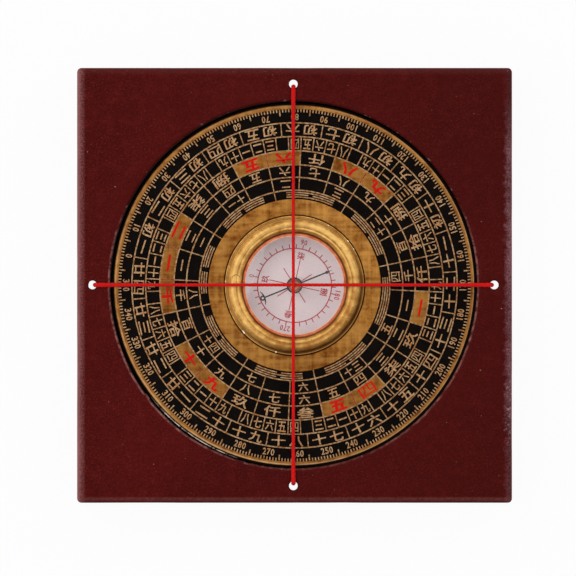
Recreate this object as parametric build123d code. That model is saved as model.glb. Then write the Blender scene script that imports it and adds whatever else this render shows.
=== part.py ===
import math
import os

from build123d import *

# A square feng shui compass. A round etched dial turns in the well of a leather-wrapped board, a magnetic
# needle swings in the glazed cup at the dial's middle, and one red cord crosses twice over the dial.
# Lengths are millimetres and angles are degrees. The board rests on z = 0 and both joints turn about Z.

# Board and its coverings
board_side = 100.0
board_height = 16.0
corner_radius = 1.5
top_edge_radius = 1.3
bottom_edge_radius = 0.8
skin_thickness = 0.5
turn_in_width = 12.0
felt_thickness = 1.5
felt_inset = 1.2
floor_thickness = 4.8
backing_margin = 1.0
well_border = 7.7
well_rim_chamfer = 0.25

# Fits
running_gap = 0.4
journal_gap = 0.1
sliding_fit = 0.1
glide_lift = 0.1

# Dial body
plate_recess = 1.8
plate_thickness = 0.8
glide_thickness = 0.5
glide_width = 6.0
glide_margin = 3.0
disc_edge_chamfer = 0.4

# Etched pattern. The rings share out the width between the scale and the bare band round the bezel
etch_depth = 0.15
border_width = 0.4
rim_band_width = 0.95
bare_band_width = 3.8
degree_ring_share = 0.152
pair_ring_share = 0.153
sixty_ring_share = 0.157
mountain_ring_share = 0.156
branch_ring_share = 0.139
star_ring_share = 0.143
line_width = 0.3
divider_width = 0.25
split_width = 0.2
tick_width = 0.3
long_tick_length = 1.5
short_tick_length = 0.75
bar_width = 0.28
bar_gap = 1.05

# Compass cup
cup_radius = 14.9
cup_wall = 0.7
cup_floor = 0.8
cup_flange_width = 1.7
cup_flange_thickness = 0.5
cup_rim_rise = 0.3
journal_length = 2.2
card_thickness = 0.4
crystal_thickness = 1.0
retaining_thickness = 0.5
retaining_lip = 0.7
spacer_wall = 0.8
boss_radius = 1.6
boss_height = 1.4
boss_chamfer = 0.3
pin_radius = 0.35
pin_cone_height = 1.2

# Bezel
bezel_cover = 2.9
bezel_overhang = 0.64
bezel_flange_width = 0.5
bezel_flange_thickness = 0.35
bezel_cord_gap = 0.2
bezel_bead_width = 1.3
bezel_bead_drop = 0.3
bezel_valley_drop = 0.25

# Needle
needle_thickness = 0.25
needle_headroom = 1.7
needle_shaft_width = 0.32
needle_hub_radius = 1.85
needle_window_gap = 1.8
arrow_length = 1.4
arrow_width = 0.75
arrow_point_length = 1.5
arrow_point_width = 0.16
tail_shortening = 1.6
tail_ring_radius = 0.62
tail_hole_radius = 0.26
horn_span = 3.3
horn_depth = 0.62
horn_width = 0.38
horn_tip_width = 0.1
cap_radius = 1.5
cap_height = 1.1
cap_edge_height = 0.35
cap_crown_radius = 0.75
jewel_radius = 0.7
jewel_height = 0.9
jewel_recess_radius = 0.4
jewel_recess_depth = 0.55
tip_gap = 0.05

# Cord
cord_radius = 0.38
cord_gap = 0.02
cord_hole_gap = 0.06
cord_hole_radius = 1.0
cord_hole_flare = 0.45
cord_bore_radius = 1.6
cord_mouth_radius = 1.8
cord_slot_width = 2.0
cord_slot_height = 0.8
crossing_gap = 0.04
crossing_bend = 20.0
knot_length = 2.4
knot_radius = 0.62
knot_end_radius = 0.42

# Angles, counterclockwise from +X, and the counts of the dial's rings
dial_north = 169.9
needle_heading = 22.0
mountain_count = 24
sixty_count = 72
tick_count = 36
trigram_count = 8
trigram_half_angle = 15.2
pin_cone_angle = 16.0

# Cells of the mountain ring that stay bare brass, counted clockwise from north
brass_mountains = (0, 1, 4, 5, 7, 8, 12, 15, 16, 20, 21, 23)

# The eight trigrams clockwise from north, outer line first: 1 is a whole line and 0 a broken one
trigrams = ("000", "100", "101", "110", "111", "011", "010", "001")

# Heights of the layers
felt_top = felt_thickness
core_bottom = felt_top + skin_thickness
core_top = board_height - skin_thickness
well_floor = core_bottom + floor_thickness
glide_top = well_floor + glide_thickness
disc_bottom = glide_top + glide_lift
plate_top = board_height - plate_recess
disc_top = plate_top - plate_thickness
cup_bottom = well_floor - journal_length
cup_inside_floor = cup_bottom + cup_floor
card_top = cup_inside_floor + card_thickness
boss_top = card_top + boss_height
cup_rim = plate_top + cup_rim_rise
crystal_top = cup_rim - retaining_thickness
crystal_bottom = crystal_top - crystal_thickness
needle_bottom = crystal_bottom - needle_headroom
needle_top = needle_bottom + needle_thickness
pin_tip = needle_bottom + jewel_recess_depth - tip_gap
cord_top_height = board_height + cord_radius + cord_gap
cord_cross_height = cord_top_height + 2 * cord_radius + crossing_gap
cord_low_height = cord_slot_height

# Radii and reaches that follow from the sizes above
well_radius = board_side / 2 - well_border
cord_hole_reach = (board_side / 2 + well_radius) / 2
dial_radius = well_radius - running_gap
cup_hole_radius = cup_radius + sliding_fit
cup_inside_radius = cup_radius - cup_wall
bore_radius = cup_radius + journal_gap
backing_hole_radius = bore_radius + backing_margin
contents_radius = cup_inside_radius - sliding_fit
bezel_inner_radius = cup_radius - bezel_cover
bezel_roll_outer = cup_radius + bezel_overhang
bezel_flange_radius = bezel_roll_outer + bezel_flange_width
window_radius = bezel_inner_radius - retaining_lip
arrow_tip_reach = window_radius - needle_window_gap
arrow_centre_reach = arrow_tip_reach - arrow_point_length
tail_ring_reach = arrow_tip_reach - tail_shortening
rim_band_outer = dial_radius - border_width
scale_radius = rim_band_outer - rim_band_width
bare_band_radius = bezel_flange_radius + bare_band_width
pattern_width = scale_radius - bare_band_radius
degree_line = scale_radius - pattern_width * degree_ring_share
pair_line = degree_line - pattern_width * pair_ring_share
sixty_line = pair_line - pattern_width * sixty_ring_share
mountain_line = sixty_line - pattern_width * mountain_ring_share
branch_line = mountain_line - pattern_width * branch_ring_share
star_line = branch_line - pattern_width * star_ring_share
cord_turn_reach = cord_hole_reach - cord_hole_radius + cord_radius + cord_hole_gap
cord_low_reach = cord_hole_reach - cord_bore_radius + cord_radius + cord_gap
cord_bend = cord_hole_flare + cord_radius + cord_gap

cut_overrun = 1.0
full_turn = 360.0


def polar(radius, angle):
    """Point at a radius and an angle counterclockwise from +X."""
    return Vector(radius * math.cos(math.radians(angle)), radius * math.sin(math.radians(angle)))


def disc(radius, low, high):
    """Round block about the Z axis between two heights."""
    return extrude(Pos(0, 0, low) * Circle(radius), high - low)


def ring(outer_radius, inner_radius, low, high):
    """Round block with a round hole, between two heights."""
    return disc(outer_radius, low, high) - disc(inner_radius, low, high)


def turned(points):
    """Solid turned about Z from the corners of its half section, given as radius and height."""
    outline = Polyline([(radius, 0, height) for radius, height in points], close=True)
    return revolve(make_face(outline), Axis.Z)


def square_block(side, corner, low, high):
    """Square block with rounded corners between two heights."""
    return extrude(Pos(0, 0, low) * RectangleRounded(side, side, corner), high - low)


def around(reach):
    """The four places at one reach along +X, +Y, -X and -Y."""
    return [Pos(reach, 0, 0), Pos(0, reach, 0), Pos(-reach, 0, 0), Pos(0, -reach, 0)]


def cord_hole_cutters():
    """Four stepped cutters: wide bores through the boards, under small flared holes in the top skin."""
    mouth = cord_hole_radius + cord_hole_flare
    spool = turned([
        (0, felt_top - cut_overrun),
        (cord_bore_radius, felt_top - cut_overrun),
        (cord_bore_radius, core_top),
        (cord_hole_radius, core_top),
        (cord_hole_radius, board_height - cord_hole_flare),
        (mouth, board_height),
        (mouth, board_height + cut_overrun),
        (0, board_height + cut_overrun),
    ])
    return [place * spool for place in around(cord_hole_reach)]


def core_block(low, high):
    """Block of the board's core between two heights, as wide as the inside of the skin."""
    return square_block(board_side - 2 * skin_thickness, corner_radius - skin_thickness, low, high)


def rounded_core():
    """The whole core with its top edges rounded, before it is split into two boards."""
    core = core_block(core_bottom, core_top)
    return fillet(core.edges().group_by(Axis.Z)[-1], top_edge_radius - skin_thickness)


def base_board():
    """Lower board: the floor of the well, with the bore that guides the cup."""
    board = core_block(core_bottom, well_floor) - disc(bore_radius, 0, board_height)
    return board - cord_hole_cutters()


def frame_board():
    """Upper board: glued on the lower one, with the round well cut through it."""
    board = rounded_core() - core_block(0, well_floor)
    board -= disc(well_radius, 0, board_height)
    return board - cord_hole_cutters()


def board_wrap():
    """Leather skin over the top and sides, turned in under the bottom edge and cut out at the well."""
    skin = square_block(board_side, corner_radius, felt_top, board_height)
    skin = fillet(skin.edges().group_by(Axis.Z)[-1], top_edge_radius)
    skin = fillet(skin.edges().group_by(Axis.Z)[0], bottom_edge_radius)
    skin -= rounded_core()
    window = board_side - 2 * turn_in_width
    skin -= square_block(window, corner_radius, 0, well_floor)
    skin -= disc(well_radius, well_floor, board_height + cut_overrun)
    circles = skin.edges().filter_by(GeomType.CIRCLE)
    rim = circles.filter_by(lambda edge: edge.radius > dial_radius).sort_by(Axis.Z)[-1]
    skin = chamfer(rim, well_rim_chamfer)
    return skin - cord_hole_cutters()


def infill_sheet():
    """Card that fills the window between the turned-in edges of the skin."""
    window = board_side - 2 * turn_in_width
    sheet = square_block(window, corner_radius, felt_top, core_bottom)
    return sheet - disc(backing_hole_radius, felt_top, core_bottom)


def felt_backing():
    """Felt under the board, cut out for the bore, the cord holes and the two hidden runs of cord."""
    felt = square_block(board_side - 2 * felt_inset, corner_radius, 0, felt_thickness)
    felt -= disc(backing_hole_radius, 0, board_height)
    mouth = disc(cord_mouth_radius, 0, felt_thickness)
    felt -= [place * mouth for place in around(cord_hole_reach)]
    run = math.hypot(cord_low_reach, cord_low_reach)
    slot = extrude(Rectangle(run, cord_slot_width), felt_thickness)
    middle = cord_low_reach / 2
    felt -= Pos(middle, -middle, 0) * Rot(0, 0, 45) * slot
    felt -= Pos(-middle, middle, 0) * Rot(0, 0, 45) * slot
    return felt


def glide_ring():
    """Felt ring on the well's floor that the dial rides on."""
    outer_radius = well_radius - glide_margin
    return ring(outer_radius, outer_radius - glide_width, well_floor, glide_top)


def knot_frame():
    """Middle of the hidden run between the west and north holes, with X along the run."""
    middle = cord_low_reach / 2
    return Pos(-middle, middle, cord_low_height) * Rot(0, 0, 45)


def cord_route():
    """Corners of the cord's route from the knot round all four holes and back, with their radii."""
    reach = cord_turn_reach
    low_reach = cord_low_reach
    start = (knot_frame() * Pos(-knot_length / 2, 0, 0)).position
    finish = (knot_frame() * Pos(knot_length / 2, 0, 0)).position
    corners = [
        start,
        Vector(-low_reach, 0, cord_low_height),
        Vector(-reach, 0, cord_top_height),
        Vector(reach, 0, cord_top_height),
        Vector(low_reach, 0, cord_low_height),
        Vector(0, -low_reach, cord_low_height),
        Vector(0, -reach, cord_top_height),
        Vector(0, 0, cord_cross_height),
        Vector(0, reach, cord_top_height),
        Vector(0, low_reach, cord_low_height),
        finish,
    ]
    radii = [cord_bend] * 6 + [crossing_bend] + [cord_bend] * 2
    return corners, radii


def cross_cord():
    """The red cord: two taut runs over the dial, drawn down the four holes and joined underneath."""
    corners, radii = cord_route()
    path = FilletPolyline(*corners, radius=radii)
    section = Plane(origin=path @ 0, z_dir=path % 0) * Circle(cord_radius)
    cord = sweep(section, path=path)
    whole = math.pi * cord_radius ** 2 * path.length
    print("cord radii", radii, "length", round(path.length, 1), "volume share", round(cord.volume / whole, 4))
    return cord


def cord_knot():
    """Knot that closes the cord, in the slot under the board."""
    half = knot_length / 2
    swell = ThreePointArc((-half, knot_end_radius), (0, knot_radius), (half, knot_end_radius))
    ends = Polyline([(half, knot_end_radius), (half, 0), (-half, 0), (-half, knot_end_radius)])
    return knot_frame() * revolve(make_face(swell + ends), Axis.X)


def dial_disc():
    """Carrier disc under the dial plate, with the stepped hole that seats the cup's flange."""
    carrier = chamfer(disc(dial_radius, disc_bottom, disc_top).edges().group_by(Axis.Z)[0], disc_edge_chamfer)
    carrier -= disc(cup_hole_radius, disc_bottom, disc_top)
    seat_radius = cup_radius + cup_flange_width + sliding_fit
    return carrier - disc(seat_radius, disc_top - cup_flange_thickness, disc_top)


def dial_angle(mark):
    """Angle on the board of a dial mark, which counts clockwise from north."""
    return dial_north - mark


def cell(inner_radius, outer_radius, start_mark, end_mark, gap):
    """Flat sector of a ring between two marks, set back from both by half of a gap."""
    inner_step = math.degrees(math.asin(gap / 2 / inner_radius))
    outer_step = math.degrees(math.asin(gap / 2 / outer_radius))
    low = dial_angle(end_mark)
    high = dial_angle(start_mark)
    middle = (low + high) / 2
    corners = [
        polar(inner_radius, low + inner_step),
        polar(outer_radius, low + outer_step),
        polar(outer_radius, high - outer_step),
        polar(inner_radius, high - inner_step),
    ]
    sides = Line(corners[0], corners[1]) + Line(corners[2], corners[3])
    outer_arc = ThreePointArc(corners[1], polar(outer_radius, middle), corners[2])
    inner_arc = ThreePointArc(corners[3], polar(inner_radius, middle), corners[0])
    return make_face(sides + outer_arc + inner_arc)


def etched_ring(outer_line, inner_line, count, first_mark, kept=()):
    """Cells etched between two ring lines, without the ones that stay bare brass."""
    step = full_turn / count
    outer_radius = outer_line - line_width / 2
    inner_radius = inner_line + line_width / 2
    starts = [(index, first_mark + index * step) for index in range(count) if index not in kept]
    return [cell(inner_radius, outer_radius, start, start + step, divider_width) for index, start in starts]


def brass_splits():
    """Thin lines etched between neighbouring brass cells of the mountain ring."""
    step = full_turn / mountain_count
    pairs = [index for index in brass_mountains if (index + 1) % mountain_count in brass_mountains]
    length = sixty_line - mountain_line - line_width
    reach = (sixty_line + mountain_line) / 2
    slot = Pos(reach, 0, 0) * Rectangle(length, split_width)
    return [Rot(0, 0, dial_angle((index + 0.5) * step)) * slot for index in pairs]


def degree_ring():
    """Etched band of the degree numbers, with a short tick at each ten and a long one between."""
    band = Circle(scale_radius) - Circle(degree_line + line_width / 2)
    short_tick = Pos(scale_radius - short_tick_length / 2, 0, 0) * Rectangle(short_tick_length, tick_width)
    long_tick = Pos(scale_radius - long_tick_length / 2, 0, 0) * Rectangle(long_tick_length, tick_width)
    step = full_turn / tick_count
    ticks = [Rot(0, 0, dial_angle(index * step)) * short_tick for index in range(tick_count)]
    ticks += [Rot(0, 0, dial_angle((index + 0.5) * step)) * long_tick for index in range(tick_count)]
    return band - ticks


def trigram_bars(lines, centre_mark):
    """Raised bars of one trigram, its lines listed from the rim inwards."""
    pitch = (star_line - bare_band_radius) / (len(lines) + 1)
    low = centre_mark - trigram_half_angle
    high = centre_mark + trigram_half_angle
    bars = []
    for row, line in enumerate(lines):
        radius = star_line - (row + 1) * pitch
        inner_radius = radius - bar_width / 2
        outer_radius = radius + bar_width / 2
        if line == "1":
            bars.append(cell(inner_radius, outer_radius, low, high, 0))
        else:
            half_gap = math.degrees(bar_gap / 2 / radius)
            bars.append(cell(inner_radius, outer_radius, low, centre_mark - half_gap, 0))
            bars.append(cell(inner_radius, outer_radius, centre_mark + half_gap, high, 0))
    return bars


def trigram_ring():
    """Etched cells of the eight trigrams, with their bars left standing."""
    step = full_turn / trigram_count
    cells = []
    for index, lines in enumerate(trigrams):
        centre_mark = index * step
        start = centre_mark - step / 2
        field = cell(bare_band_radius, star_line - line_width / 2, start, start + step, divider_width)
        cells.append(field - trigram_bars(lines, centre_mark))
    return cells


def dial_plate():
    """Etched brass plate: its lines, ticks, bars and bare cells stand up from the enamelled floor."""
    half_step = full_turn / mountain_count / 2
    half_sixty = full_turn / sixty_count / 2
    pattern = Circle(rim_band_outer) - degree_ring()
    pattern -= etched_ring(degree_line, pair_line, mountain_count, 0)
    pattern -= etched_ring(pair_line, sixty_line, sixty_count, half_sixty)
    pattern -= etched_ring(sixty_line, mountain_line, mountain_count, -half_step, brass_mountains)
    pattern -= brass_splits()
    pattern -= etched_ring(mountain_line, branch_line, mountain_count, -half_step)
    pattern -= etched_ring(branch_line, star_line, mountain_count, -half_step)
    pattern -= trigram_ring()
    pattern -= Circle(cup_hole_radius)
    relief = extrude(Pos(0, 0, plate_top - etch_depth) * pattern, etch_depth)
    return ring(dial_radius, cup_hole_radius, disc_top, plate_top - etch_depth) + relief


def compass_cup():
    """Turned brass cup: its flange sits in the disc and its lower end turns in the board's bore."""
    flange_radius = cup_radius + cup_flange_width
    flange_bottom = disc_top - cup_flange_thickness
    return turned([
        (0, cup_bottom),
        (cup_radius, cup_bottom),
        (cup_radius, flange_bottom),
        (flange_radius, flange_bottom),
        (flange_radius, disc_top),
        (cup_radius, disc_top),
        (cup_radius, cup_rim),
        (cup_inside_radius, cup_rim),
        (cup_inside_radius, cup_inside_floor),
        (0, cup_inside_floor),
    ])


def compass_card():
    """White card on the cup's floor, with the hole that the pivot boss stands in."""
    return ring(contents_radius, boss_radius, cup_inside_floor, card_top)


def pivot_boss():
    """Turned boss that carries the pivot pin."""
    return turned([
        (pin_radius, cup_inside_floor),
        (boss_radius, cup_inside_floor),
        (boss_radius, boss_top - boss_chamfer),
        (boss_radius - boss_chamfer, boss_top),
        (pin_radius, boss_top),
    ])


def pivot_pin():
    """Steel pin with a sharp cone that carries the needle's jewel."""
    tip_radius = pin_radius - pin_cone_height * math.tan(math.radians(pin_cone_angle))
    return turned([
        (0, cup_inside_floor),
        (pin_radius, cup_inside_floor),
        (pin_radius, pin_tip - pin_cone_height),
        (tip_radius, pin_tip),
        (0, pin_tip),
    ])


def spacer_ring():
    """Ring that stands on the card and carries the crystal."""
    return ring(contents_radius, contents_radius - spacer_wall, card_top, crystal_bottom)


def crystal():
    """Flat glass over the needle."""
    return disc(contents_radius, crystal_bottom, crystal_top)


def retaining_ring():
    """Copper ring that holds the crystal down, just inside the bezel."""
    return ring(contents_radius, window_radius, crystal_top, cup_rim)


def bezel():
    """Brass bezel over the cup's rim: a fine bead inside a wide roll, with a thin flange on the plate."""
    flange_top = plate_top + bezel_flange_thickness
    crest = board_height - bezel_cord_gap
    valley_radius = bezel_inner_radius + bezel_bead_width
    valley = (valley_radius, 0, crest - bezel_valley_drop)
    bead_crest = (bezel_inner_radius + bezel_bead_width / 2, 0, crest - bezel_bead_drop)
    roll_crest = ((valley_radius + bezel_roll_outer) / 2, 0, crest)
    bead = ThreePointArc((bezel_inner_radius, 0, cup_rim), bead_crest, valley)
    roll = ThreePointArc(valley, roll_crest, (bezel_roll_outer, 0, flange_top))
    foot = Polyline([
        (bezel_roll_outer, 0, flange_top),
        (bezel_flange_radius, 0, flange_top),
        (bezel_flange_radius, 0, plate_top),
        (cup_hole_radius, 0, plate_top),
        (cup_hole_radius, 0, cup_rim),
        (bezel_inner_radius, 0, cup_rim),
    ])
    return revolve(make_face(bead + roll + foot), Axis.Z)


def needle_tail():
    """Ring with two curved horns at the needle's south end, flat in the XY plane."""
    half_span = horn_span / 2
    half_tip = horn_tip_width / 2
    back = tail_ring_reach - tail_ring_radius
    tip = back + horn_depth
    outer_tip = -tip - half_tip
    inner_tip = -tip + half_tip
    outer = ThreePointArc((outer_tip, -half_span), (-back - horn_width, 0), (outer_tip, half_span))
    inner = ThreePointArc((inner_tip, half_span), (-back, 0), (inner_tip, -half_span))
    closings = Line(outer @ 1, inner @ 0) + Line(inner @ 1, outer @ 0)
    place = Pos(-tail_ring_reach, 0)
    tail = make_face(outer + inner + closings) + place * Circle(tail_ring_radius)
    return tail - place * Circle(tail_hole_radius)


def needle_arrow():
    """Diamond and fine point at the needle's north end, flat in the XY plane."""
    back = arrow_centre_reach - arrow_length / 2
    front = arrow_centre_reach + arrow_length / 2
    half_width = arrow_width / 2
    half_point = arrow_point_width / 2
    upper = [(back, 0), (arrow_centre_reach, half_width), (front, half_point), (arrow_tip_reach, 0)]
    lower = [(front, -half_point), (arrow_centre_reach, -half_width)]
    return make_face(Polyline(upper + lower, close=True))


def needle():
    """Flat blackened needle: a hub, a thin shaft, an arrow at one end and a horned ring at the other."""
    length = arrow_centre_reach + tail_ring_reach - tail_hole_radius - horn_tip_width
    middle = arrow_centre_reach - length / 2
    outline = Circle(needle_hub_radius) + Pos(middle, 0) * Rectangle(length, needle_shaft_width)
    outline += needle_arrow()
    outline += needle_tail()
    outline -= Circle(jewel_radius)
    return Rot(0, 0, needle_heading) * extrude(Pos(0, 0, needle_bottom) * outline, needle_thickness)


def needle_cap():
    """Small domed brass cap over the jewel, seated on the needle's hub."""
    edge_top = needle_top + cap_edge_height
    cap_top = needle_top + cap_height
    jewel_top = needle_bottom + jewel_height
    shoulder = ((cap_radius + cap_crown_radius) / 2, 0, (edge_top + cap_top * 2) / 3)
    dome = ThreePointArc((cap_radius, 0, edge_top), shoulder, (cap_crown_radius, 0, cap_top))
    body = Polyline([
        (cap_crown_radius, 0, cap_top),
        (0, 0, cap_top),
        (0, 0, jewel_top),
        (jewel_radius, 0, jewel_top),
        (jewel_radius, 0, needle_top),
        (cap_radius, 0, needle_top),
        (cap_radius, 0, edge_top),
    ])
    return revolve(make_face(dome + body), Axis.Z)


def needle_jewel():
    """Jewel bearing in the needle's hub, with the cone that rests on the pivot pin."""
    jewel_top = needle_bottom + jewel_height
    return turned([
        (jewel_recess_radius, needle_bottom),
        (jewel_radius, needle_bottom),
        (jewel_radius, jewel_top),
        (0, jewel_top),
        (0, needle_bottom + jewel_recess_depth),
    ])


pieces = (
    base_board,
    frame_board,
    board_wrap,
    infill_sheet,
    felt_backing,
    glide_ring,
    cross_cord,
    cord_knot,
    dial_disc,
    dial_plate,
    compass_cup,
    compass_card,
    pivot_boss,
    pivot_pin,
    spacer_ring,
    crystal,
    retaining_ring,
    bezel,
    needle,
    needle_cap,
    needle_jewel,
)

os.makedirs("parts", exist_ok=True)
for make_piece in pieces:
    export_step(make_piece(), "parts/" + make_piece.__name__ + ".step")
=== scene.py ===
import math

import bpy
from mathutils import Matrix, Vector, noise


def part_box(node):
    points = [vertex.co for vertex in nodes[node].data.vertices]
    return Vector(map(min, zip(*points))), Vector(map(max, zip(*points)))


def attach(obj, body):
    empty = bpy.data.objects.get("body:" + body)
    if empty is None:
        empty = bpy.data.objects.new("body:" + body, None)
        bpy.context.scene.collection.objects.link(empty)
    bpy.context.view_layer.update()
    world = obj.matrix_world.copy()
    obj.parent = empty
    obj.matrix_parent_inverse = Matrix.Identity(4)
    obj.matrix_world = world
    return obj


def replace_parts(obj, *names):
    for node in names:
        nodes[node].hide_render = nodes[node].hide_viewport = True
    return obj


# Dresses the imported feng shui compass: a finish for every node, the leather skin, the twisted cord and its
# knot, the signs and ticks of the dial, and the print on the card. Lengths are millimetres until mm() or MM
# turns them into metres. Angles are degrees, counterclockwise from +X, unless a docstring says otherwise.
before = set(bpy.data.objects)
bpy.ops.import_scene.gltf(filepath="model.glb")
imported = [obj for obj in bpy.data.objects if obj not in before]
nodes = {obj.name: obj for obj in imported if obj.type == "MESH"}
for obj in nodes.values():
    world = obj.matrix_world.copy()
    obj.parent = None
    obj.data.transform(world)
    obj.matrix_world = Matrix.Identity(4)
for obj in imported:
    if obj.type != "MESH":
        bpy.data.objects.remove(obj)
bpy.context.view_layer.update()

MM = 0.001
MM_PER_METRE = 1000.0

# Camera, almost straight above the middle
CAMERA_PLACE = (-1.505, -0.604, 1516)
FOCAL_LENGTH = 408.2
SENSOR_WIDTH = 36

# Board and its leather: roundings run along its edges, and corner radii are seen from above
BOARD_HALF = 50.0
BOARD_TOP = 16.0
TOP_ROUNDING = 1.3
BOTTOM_ROUNDING = 0.8
SIDE_CORNER = 1.0
FACE_CORNER = 0.6
FLAP_CORNER = 1.5
FLAP_BOTTOM = 1.5
CORE_BOTTOM = 2.0
SKIN_THICKNESS = 0.5
TURN_IN = 12.0
LIP_RADIUS = 42.17

# Cord: its route and holes, which on top sit a little to the upper left of the dial's middle
CORD_SHIFT = (-0.28, 0.1)
HOLE_REACH = 46.15
HOLE_SIDES = 28
CORD_TURN_REACH = 45.59
CORD_LOW_REACH = 44.95
CORD_LOW = 0.8
CORD_TOP = 16.4
CORD_CROSSING = 17.2
CORD_BEND = 0.85
CROSSING_BEND = 20.0
CORD_RADIUS = 0.385
HIDDEN_CORD_RADIUS = 0.4
GATHERED_EXTRA = 0.16

# Dial: marks count clockwise from its north, and from the card's north on the card
DIAL_NORTH = 169.9
CARD_NORTH = 167.4
MOUNTAIN_COUNT = 24
SIXTY_COUNT = 72
EIGHTH_TURN = 45
MOUNTAIN_STEP = 360 / MOUNTAIN_COUNT
SIXTY_STEP = 360 / SIXTY_COUNT

# Wide bands of brass on the plate, as inner and outer radius
RIM_BAND = (40.53, 43.0)
MOUNTAIN_BAND = (27.88, 30.85)
BARE_BAND = (15.0, 20.0)

# Radii that the signs of each ring stand on
DEGREE_RADIUS = 38.7
PAIR_RADIUS = 35.82
SIXTY_RADIUS = 32.61
MOUNTAIN_RADIUS = 29.37
BRANCH_RADIUS = 26.31
STAR_RADIUS = 23.39

# Raised signs stand in the etched floor, and printed ones lie on the plate or the card
SIGN_FOOT = 14.05
SIGN_TOP = 14.195
PRINT_THICKNESS = 0.02
plate_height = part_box("dial_plate")[1].z * MM_PER_METRE
card_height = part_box("compass_card")[1].z * MM_PER_METRE

# Ink and brass signs are counting numbers: plain ones, and formal ones with more strokes
COUNTING = "一二三四五六七八九十百千"
FORMAL = "叁玖柒捌拾叁仟玖柒捌拾仟"

# The most that a sign with close strokes may be thickened
FRAIL_SIGNS = {"四": 0.006}

# Cells of the mountain ring that stay bare brass, and degree numbers that stand a little before their mark
BRASS_CELLS = (0, 1, 4, 5, 7, 8, 12, 15, 16, 20, 21, 23)
EARLY_NUMBERS = (250, 260, 270, 280, 310)


def mm(*values):
    """Vector in metres from lengths in millimetres."""
    return Vector([value * MM for value in values])


def srgb(red, green, blue):
    """Linear colour of an 8-bit screen colour."""
    linear = []
    for value in (red, green, blue):
        share = value / 255
        linear.append(share / 12.92 if share <= 0.04045 else ((share + 0.055) / 1.055) ** 2.4)
    return (*linear, 1)


def polar(radius, angle):
    """X and Y at a radius and an angle."""
    return radius * math.cos(math.radians(angle)), radius * math.sin(math.radians(angle))


def linked(name, data):
    """A new object in the scene that shows the given data."""
    item = bpy.data.objects.new(name, data)
    bpy.context.scene.collection.objects.link(item)
    return item


def meshed(name, vertices, faces):
    """A new mesh object from its points in metres and its faces."""
    mesh = bpy.data.meshes.new(name)
    mesh.from_pydata(vertices, [], faces)
    mesh.update()
    return linked(name, mesh)


# Camera
lens = bpy.data.cameras.new("photo_camera")
lens.lens = FOCAL_LENGTH
lens.sensor_width = SENSOR_WIDTH
lens.sensor_fit = "HORIZONTAL"
lens.clip_start = 0.01
lens.clip_end = 50
camera = linked("photo_camera", lens)
camera.location = mm(*CAMERA_PLACE)
bpy.context.scene.camera = camera


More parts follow.
